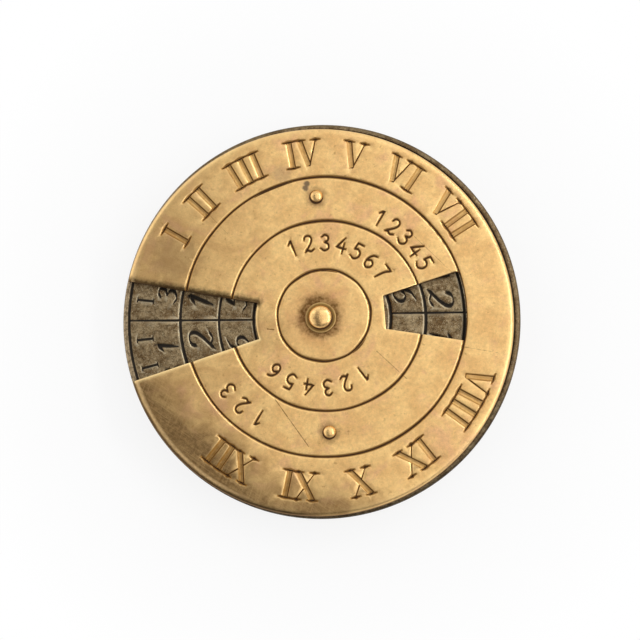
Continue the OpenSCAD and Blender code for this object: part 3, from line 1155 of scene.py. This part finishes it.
def tarnished(s, tarnish_and_shade_share):
    """Brown on the left and along the lower left edge, partly tarnish and partly painted shade,
    except where fingers rub.
    """
    left = s.plus(s.times(s.x, -1), s.swing(s.middle, 12))
    beyond = s.times(s.less(s.away(*PIVOT), 20), .6)
    low = s.plus(s.towards(-.5, -.87), beyond, s.swing(s.slow, 8), s.swing(s.middle, 6))
    brown = s.plus(s.times(s.band(left, 2, 20), .46), s.times(s.band(low, 9, 18.5), .92),
                   clamp=True)
    s.worn = s.times(s.read("wear"), s.band(low, 13, 18, 1, .1))
    s.brown = s.times(brown, s.band(s.quick, .3, .62, .72, 1),
                      s.less(tarnish_and_shade_share, s.times(s.worn, .75 * tarnish_and_shade_share)))
    s.stain(s.brown, (115, 89, 56))


def scratched(s):
    one, two = (s.noise(1, 3, .6, at=s.stretch(*way)) for way in SCRATCHES)
    s.scratch = s.plus(s.band(one, .6, .7), s.band(two, .62, .72))
    rubbed = s.times(s.plus(s.band(one, .5, .66), s.band(two, .54, .68)), .2)
    s.stain(s.times(rubbed, s.brown, clamp=True), (222, 186, 130))


def grained(s):
    shade = s.plus(s.times(s.quick, .62), s.times(s.fine, .46), .46)
    tone = s.new("ShaderNodeCombineColor", {0: shade, 1: shade, 2: shade})
    s.stain(1.0, tone.outputs[0], "MULTIPLY")
    s.stain(s.times(s.band(s.noise(1.7, 4, .6), .6, .74), .5), (152, 108, 62))
    s.stain(s.times(s.band(s.fine, .62, .72), .55), (128, 88, 46))


print("two sets of scratches, at", [way[3] for way in SCRATCHES], "degrees")

# %% [markdown]
# Then come the marks that belong to one place: the dark ring of old oil round the rivet, a few
# stains, hairlines, painted shade along the long window's upper straight edge and a painted
# highlight along its lower one, and the cover's lower left edge, which is rubbed bright on its
# shoulder and has painted shade below it.

# %% Marks in their places
OIL_AT = PIVOT[0] - .16, PIVOT[1] + .1


def oily(s):
    out = s.plus(s.away(*OIL_AT), s.swing(s.noise(1.1, 5, .7), 2))
    s.stain(s.times(s.band(out, 1.6, 4.2, 1, 0), .34), (186, 128, 84))
    near = s.times(s.band(out, 1.55, 2.75, 1, 0), s.band(s.quick, .36, .56, .6, 1))
    s.stain(s.times(near, .92), (88, 56, 22))


def blotted(s, x, y, size, share, tint):
    out = s.plus(s.away(x, y), s.swing(s.noise(1.6, 4, .7), size * 1.4))
    s.stain(s.times(s.band(out, size * .6, size * 1.4, 1, 0), share), tint)


def hairlined(s, a, b, half, share):
    out = s.plus(s.beside(a, b), s.swing(s.noise(1.3, 3), .14))
    s.stain(s.times(s.band(out, half * .5, half * 1.5, 1, 0), share), (108, 72, 34))


# A band of colour along a straight edge, used for painted shade and for a painted highlight.
def edged(s, a, b, reach, share, tint):
    out = s.plus(s.beside(a, b), s.swing(s.quick, reach))
    s.stain(s.times(s.band(out, 0, reach, 1, 0), share), tint)


def lipped(s, x, y):
    """The lower left edge of a cover with its centre at the given spot: rubbed bright on its
    shoulder, with painted shade below it.
    """
    out = s.plus(s.away(x, y), s.swing(s.quick, .12))
    bright = s.times(s.band(out, 18.86, 19.14), s.band(out, 19.2, 19.32, 1, 0),
                     s.band(s.quick, .36, .6, .55, 1), s.band(s.towards(-.91, -.42), 12.8, 17))
    s.stain(s.times(bright, .85), (240, 202, 146))
    # painted shade along the very edge, below the rubbed shoulder
    painted_shade = s.times(s.band(out, 19.3, 19.42), s.band(s.towards(-.7, -.72), 13.6, 16.4))
    s.stain(s.times(painted_shade, .85), (62, 48, 32))


print("the oil lies", round(math.dist(OIL_AT, PIVOT), 2), "mm off the pivot")

# %% [markdown]
# Last is the soil, read from the mesh: dirt in the cuts, and painted shade on the walls, the
# edges and the side of each cut turned from the light. Neither is metal, so they take the shine
# away where they lie. One function lays all the layers, and each piece asks for the ones that it
# has.

# %% Mix the gilt metal
def gilt_metal(name, tarnish_and_shade_share=1.0, oil=True, polish=0.0, age=0.0, blots=(), hairs=(), edges=(),
               lip=None):
    s = Shades(name)
    gilding(s)
    tarnished(s, tarnish_and_shade_share)
    scratched(s)
    grained(s)
    if oil:
        oily(s)
    for blot in blots:
        blotted(s, *blot)
    for hair in hairs:
        hairlined(s, *hair)
    # pale where fingers wear it, and on the burr's painted highlight
    s.stain(s.times(s.worn, .4), (246, 214, 150))
    # painted shade and painted highlight along the window's edges
    for edge in edges:
        edged(s, *edge)
    # the cover's lower left edge, rubbed bright, with painted shade below
    if lip:
        lipped(s, *lip)
    # dirt in the cuts, and painted shade on walls, edges and shaded flanks, both read from the mesh
    soil_and_shade = s.plus(s.read("cut"), s.swing(s.quick, .25))
    black = s.band(soil_and_shade, .32, .8)
    s.stain(s.times(s.band(soil_and_shade, .05, .25), .75), (150, 106, 44))
    s.stain(s.times(black, .93), (62, 36, 12))
    if age:
        s.stain(age, (120, 98, 54))
    s.put(s.shader["Base Color"], s.colour)
    s.put(s.shader["Metallic"], s.less(1, s.times(black, .6)))
    rough = s.plus(s.times(s.middle, .12), s.times(s.fine, .16), .30 - .2 * polish + .2 * age)
    rough = s.less(rough, s.times(s.worn, .12))
    s.put(s.shader["Roughness"], s.plus(rough, s.times(black, .5), clamp=True))
    s.bumps((s.middle, 5e-5, .4), (s.quick, 1.4e-5, .6), (s.fine, 6e-6, .7),
            (s.times(s.scratch, -1), 4e-6, .8))
    return s.material


print("the layers of a gilt metal are ready")

# %% [markdown]
# The five finishes. The stains were placed from the photograph, and each stud has left one
# round itself. The small turned pieces are touched most, so they are the brightest.

# %% Name the gilt finishes
GREY = (104, 88, 72)
BLOTS = [  # place, size, share and colour
    (-1.42, 13.7, .3, .85, GREY), (-1.55, 13.25, .32, .85, GREY),
    (-3.9, 14.7, .9, .4, (150, 118, 96)), (13.6, 12.2, .5, .35, (140, 100, 60)),
    (-14.5, 6.2, 2.4, .3, (104, 80, 56)), (-5.4, -1.4, 2.2, .22, (128, 96, 60)),
    (15.2, -13.0, .8, .3, (150, 110, 80))]
HAIRLINES = [  # two ends, half-width and share
    ((-4.6, -8.1), (-1.2, -12.9), .035, .75), ((-5.35, -1.1), (-4.7, -1.16), .05, .8),
    ((5.6, -3.4), (8.6, -6.2), .03, .5), ((9.2, 8.4), (13.8, 3.9), .025, .4),
    ((14.2, -3.0), (17.6, -3.6), .03, .45), ((-12.6, 12.0), (-9.4, 8.6), .025, .4),
    ((-9.5, -15.2), (-10.4, -17.0), .04, .5)]
# The long window's edges: painted shade along the upper one, a painted highlight along the lower
# one.
PAINTED_WINDOW_EDGE_LIGHT = [  # two ends, reach, share and colour
    (tuple(LONG[-1]), tuple(LONG[0]), .75, .9, (66, 46, 24)),
    (tuple(LONG[1]), tuple(LONG[2]), .4, .7, (252, 222, 160))]


def stud_stains(*studs):
    return [(*STUDS[node], 1.0, .5, (120, 86, 50)) for node in studs]


gilt_cover = gilt_metal("gilt_cover", blots=stud_stains("upper_stud", "lower_stud") + BLOTS,
                        hairs=HAIRLINES, edges=PAINTED_WINDOW_EDGE_LIGHT, lip=(-.28, -.2))
gilt_back = gilt_metal("gilt_back", blots=stud_stains("back_right_stud", "back_left_stud"))
gilt_stud = gilt_metal("gilt_stud", tarnish_and_shade_share=.1, oil=False, polish=.75)
gilt_rivet = gilt_metal("gilt_rivet", tarnish_and_shade_share=.1, oil=False, polish=1)
gilt_washer = gilt_metal("gilt_washer", tarnish_and_shade_share=0, oil=False, age=.55)
print("gilt nodes:", len(gilt_cover.node_tree.nodes))

# %% [markdown]
# ## Silvered metal
# The plate was whitened with silver, and silver turns grey and brown. Only the rim, which rubs in
# a pocket, is scratched bright. The figures were filled with black wax.

# %% Mix the silvered metal
def silver_rim(s, worn):
    """Where the rim is, and its colour: rubbed on the left, with painted shade along the bottom."""
    streak = s.noise(1, 3, .6, at=s.stretch(3, 3, 3))
    rim = s.band(s.plus(s.away(*PIVOT), s.swing(streak, .5)), 19.35, 19.6)
    left = s.plus(s.times(s.x, -1), s.swing(s.quick, 8))
    bright = s.mix(s.band(left, 12, 19), (104, 86, 60), (176, 156, 126))
    spots = s.times(s.band(s.noise(3.4, 4, .6), .46, .6), .7)
    bright = s.mix(spots, bright, (72, 56, 36))
    # painted shade along the bottom of the rim
    return rim, s.mix(s.band(s.y, -4, -10), bright, (34, 26, 17))


def silvered_metal():
    s = Shades("silvered_plate")
    s.middle, s.quick, s.fine = s.noise(.7, 5, .65, warp=.6), s.noise(3, 6, .72), s.noise(9, 5, .65)
    s.colour = s.mix(s.band(s.middle, .35, .66), (162, 141, 106), (108, 84, 54))
    s.stain(s.times(s.band(s.quick, .42, .66), .78), (66, 50, 32))
    s.stain(s.times(s.band(s.fine, .54, .66), .6), (202, 186, 150))
    worn = s.read("wear")
    rim, bright = silver_rim(s, worn)
    s.stain(s.times(rim, worn, .9), bright)
    # pale where worn, and along each cut's painted burr highlight
    s.stain(s.times(worn, s.less(1, rim), s.band(s.quick, .34, .66, .15, .75)), (206, 194, 164))
    # black wax in the cuts, with the painted shade that the mesh carries
    soil_and_shade = s.band(s.plus(s.read("cut"), s.swing(s.quick, .25)), .16, .45)
    s.stain(s.times(soil_and_shade, .96), (26, 20, 12))
    s.put(s.shader["Base Color"], s.colour)
    s.put(s.shader["Metallic"], s.less(.9, s.times(soil_and_shade, .7)))
    rough = s.plus(s.times(s.quick, .3), .3, s.times(soil_and_shade, .45), clamp=True)
    s.put(s.shader["Roughness"], rough)
    s.bumps((s.middle, 2e-5, .4), (s.quick, 1.6e-5, .6), (s.fine, 6e-6, .7))
    return s.material


silvered = silvered_metal()
print("silvered nodes:", len(silvered.node_tree.nodes))

# %% [markdown]
# ## Turn the small pieces
# Each section becomes a small mesh of points and edges, the lathe tree turns it, and the result is
# made a plain mesh with its modifier gone. The same tree makes all seven pieces.

# %% Run the lathe
def turned(name, section, place, material, steps):
    mesh = bpy.data.meshes.new(name)
    mesh.from_pydata([(r * MM, 0, z * MM) for r, z in section],
                     [(i, i + 1) for i in range(len(section) - 1)], [])
    blank = bpy.data.objects.new(name + "_blank", mesh)
    bpy.context.scene.collection.objects.link(blank)
    modifier = blank.modifiers.new("lathe", "NODES")
    modifier.node_group = LATHE
    modifier[STEPS_ROUND] = steps
    modifier[PLACE] = (float(place[0]) * MM, float(place[1]) * MM, 0.0)
    modifier[METAL] = material
    graph = bpy.context.evaluated_depsgraph_get()
    solid = bpy.data.meshes.new_from_object(blank.evaluated_get(graph))
    blank.modifiers.clear()
    bpy.data.objects.remove(blank)
    bm = bmesh.new()
    bm.from_mesh(solid)
    bmesh.ops.recalc_face_normals(bm, faces=bm.faces)
    bm.to_mesh(solid)
    bm.free()
    solid.attributes.new("wear", "FLOAT", "POINT")
    return smooth_piece(name, solid, math.radians(35))


def soil_near(piece, level, reach, lit_heart=None, lit_radius=0.56, collar=0.0):
    """Dirt and painted shade where a piece meets its cover, at the given height in millimetres.
    A crown also gets painted shade further from its lit heart than the lit radius, and a washer
    nearer to the pivot than the collar's radius."""
    co = np.empty(len(piece.data.vertices) * 3, np.float32)
    piece.data.vertices.foreach_get("co", co)
    x, y, z = co.reshape(-1, 3).T / MM
    cut = np.clip(1 - np.abs(z - level) / reach, 0, 1)
    inner = (collar - np.hypot(x - PIVOT[0], y - PIVOT[1])) / .06
    cut = np.maximum(cut, .42 * np.clip(inner, 0, 1))
    if lit_heart is not None:
        outer = (np.hypot(x - lit_heart[0], y - lit_heart[1]) - lit_radius) / .1
        cut = np.maximum(cut, np.clip(outer, 0, 1))
    layer = piece.data.attributes.new("cut", "FLOAT", "POINT").data
    layer.foreach_set("value", cut.astype(np.float32))


def levels(node):
    return [corner.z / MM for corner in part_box(node)]


print("the rivet stands from", *(round(z, 2) for z in levels("pivot_rivet")), "mm")

# %% Turn studs, rivet and washers
STUD_STEPS, RIVET_STEPS = 40, 96
STUD_LIT_HEART, RIVET_LIT_HEART = (.045, .07), (-.06, .05)  # centre of a crown's lit part; beyond the lit radius it gets painted shade
small = {}
for node, place in STUDS.items():
    at_back = node.startswith("back")
    section = stud_section(-BACK["high"] if at_back else FRONT["low"], FRONT["thick"])
    small[node] = turned(node + "_turned", upside_down(section) if at_back else section, place,
                         gilt_stud, STUD_STEPS)
    soil_near(small[node], BACK["low"] if at_back else FRONT["high"], .2, place + STUD_LIT_HEART)
low, high = levels("pivot_rivet")
small["pivot_rivet"] = turned("pivot_rivet_turned", rivet_section(low, high), PIVOT, gilt_rivet,
                              RIVET_STEPS)
soil_near(small["pivot_rivet"], high - HEAD_RISE, .12, PIVOT + RIVET_LIT_HEART, 1.12)
for node, bore in (("head_washer", .92), ("tail_washer", .62)):
    low, high = levels(node)
    section = washer_section(bore, low, high)
    if node == "tail_washer":
        section = upside_down(section, (low + high) / 2)
    small[node] = turned(node + "_turned", section, PIVOT, gilt_washer, RIVET_STEPS)
    soil_near(small[node], low if node == "head_washer" else high, .05, collar=WASHER_STEP[0])

# %% [markdown]
# ## Place the pieces on their bodies
# The front cover and its studs turn together, the back cover and its studs turn together, and the
# rivet and washers stay with the plate. Each new piece stands for one solid of the imported model.

# %% Ride and replace
for piece, metal in ((front_cover, gilt_cover), (back_cover, gilt_back),
                     (calendar_plate, silvered)):
    piece.data.materials.append(metal)
plan = [(front_cover, "front_disc", "front_cover", "gilt_cover"),
        (back_cover, "back_disc", "back_cover", "gilt_cover"),
        (calendar_plate, "plate", "calendar_plate", "silvered_plate")]
for node, body, finish in (
        ("upper_stud", "front_disc", "gilt_stud"), ("lower_stud", "front_disc", "gilt_stud"),
        ("back_right_stud", "back_disc", "gilt_stud"), ("back_left_stud", "back_disc", "gilt_stud"),
        ("pivot_rivet", "plate", "gilt_rivet"), ("head_washer", "plate", "gilt_washer"),
        ("tail_washer", "plate", "gilt_washer")):
    plan.append((small[node], body, node, finish))
for piece, body, node, finish in plan:
    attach(piece, body)
    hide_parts(node)
print(len(plan), "pieces placed")

# %% [markdown]
# ## Floor, light and camera
# The calendar lies on a white table in a white room. Both show as white to the rays by which the
# camera, the metal and glass see them, which Light Path tells apart. To all other rays the floor
# is a plain pale surface. Close to the object the two are mixed, so that the floor keeps the
# object's shadow.

# %% Lay the floor
def in_view(n):
    """1 for the rays by which something is seen, also in a mirror or through glass."""
    path = n.new("ShaderNodeLightPath").outputs
    return n.math("MAXIMUM", n.math("MAXIMUM", path["Is Camera Ray"], path["Is Glossy Ray"]),
                  path["Is Transmission Ray"])


def fade(n, value, near, far, to_near, to_far):
    return n.new("ShaderNodeMapRange", {"Value": value, "From Min": near, "From Max": far,
                                        "To Min": to_near, "To Max": to_far}).outputs[0]


def white_floor():
    mesh = bpy.data.meshes.new("floor")
    mesh.from_pydata([(-2, -2, 0), (2, -2, 0), (2, 2, 0), (-2, 2, 0)], [], [(0, 1, 2, 3)])
    floor = bpy.data.objects.new("floor", mesh)
    bpy.context.scene.collection.objects.link(floor)
    material = bpy.data.materials.new("pale_floor")
    material.use_nodes = True
    n = Nodes(material.node_tree)
    paint = n.tree.nodes["Principled BSDF"]
    n.put(paint.inputs["Base Color"], (.8, .8, .8, 1))
    n.put(paint.inputs["Roughness"], .9)
    away = n.new("ShaderNodeVectorMath", {0: n.new("ShaderNodeTexCoord").outputs["Object"]},
                 operation="LENGTH").outputs["Value"]
    share = n.times(in_view(n), fade(n, away, .023, .04, .85, 1))
    glow = n.new("ShaderNodeEmission").outputs[0]
    blend = n.new("ShaderNodeMixShader", {0: share, 1: paint.outputs[0], 2: glow}).outputs[0]
    n.put(n.tree.nodes["Material Output"].inputs["Surface"], blend)
    mesh.materials.append(material)


white_floor()
print("floor laid")

# %% [markdown]
# The key light hangs almost overhead, as a large soft panel. A thin bright strip low at the right
# draws the highlights on studs and rivet, a weaker panel fills in from the left, and one beyond
# the top lights the upper walls of the cuts.

# %% Hang the lights
def soft_light(name, tilt, turn, wide, long, glow, distance=.45):
    """Panel that leans by tilt from overhead towards the bearing turn, long across that way."""
    tilt, turn = math.radians(tilt), math.radians(turn)
    way = Vector((math.sin(tilt) * math.cos(turn), math.sin(tilt) * math.sin(turn),
                  math.cos(tilt)))
    across = Vector((-math.sin(turn), math.cos(turn), 0))
    data = bpy.data.lights.new(name, "AREA")
    data.shape, data.size, data.size_y = "RECTANGLE", wide, long
    data.energy = glow * math.pi * wide * long
    lamp = bpy.data.objects.new(name, data)
    lamp.location = way * distance + Vector((0, 0, 2 * MM))
    lamp.rotation_euler = Matrix((across.cross(way), across, way)).transposed().to_euler()
    bpy.context.scene.collection.objects.link(lamp)


soft_light("key", 24, 10, .48, .7, 1.12)
soft_light("edge", 53, 12, .06, .6, 6.5)
soft_light("fill", 56, 178, .42, .7, .82)
soft_light("top", 52, 94, .3, .8, .7)

# %% [markdown]
# The world is the room. It lights the calendar weakly from all sides, and shows the camera and
# the metal a white wall up to about thirty degrees above the table. Higher up it stays dim, so
# that the cover's flat face mirrors the lights and not a blank sky.

# %% Build the white room
ROOM_GLOW = .2


def white_room():
    world = bpy.data.worlds.new("studio")
    bpy.context.scene.world = world
    world.use_nodes = True
    n = Nodes(world.node_tree)
    way = n.new("ShaderNodeTexCoord").outputs["Generated"]
    height = n.new("ShaderNodeSeparateXYZ", {0: way}).outputs["Z"]
    wall = fade(n, height, .3, .5, 1 - ROOM_GLOW, 0)
    background = n.tree.nodes["Background"].inputs
    n.put(background["Color"], (1, 1, 1, 1))
    n.put(background["Strength"], n.math("MULTIPLY_ADD", in_view(n), wall, ROOM_GLOW))


white_room()
print("room glow:", ROOM_GLOW)

# %% [markdown]
# The photograph was taken from almost straight above with a long lens, tipped about eight degrees
# towards the lower edge, which is why the layers show along the bottom and the right.

# %% Set the camera
TIP_LOW, TIP_RIGHT = math.radians(8), math.radians(2.5)
DISTANCE, LENS, SENSOR = .2135, 120, 36


def set_camera():
    data = bpy.data.cameras.new("camera")
    data.lens, data.sensor_width = LENS, SENSOR
    data.clip_start, data.clip_end = .01, 10
    camera = bpy.data.objects.new("camera", data)
    aim = Vector((-.07 * MM, -.22 * MM, FRONT["high"] * MM))
    way = Vector((math.sin(TIP_RIGHT), -math.sin(TIP_LOW), 1)).normalized()
    camera.location = aim + way * DISTANCE
    across = Vector((0, 1, 0)).cross(way).normalized()
    camera.rotation_euler = Matrix((across, way.cross(across), way)).transposed().to_euler()
    bpy.context.scene.collection.objects.link(camera)
    bpy.context.scene.camera = camera
    bpy.context.scene.view_settings.view_transform = "Standard"
    return camera


print("camera at", tuple(round(c, 4) for c in set_camera().location))
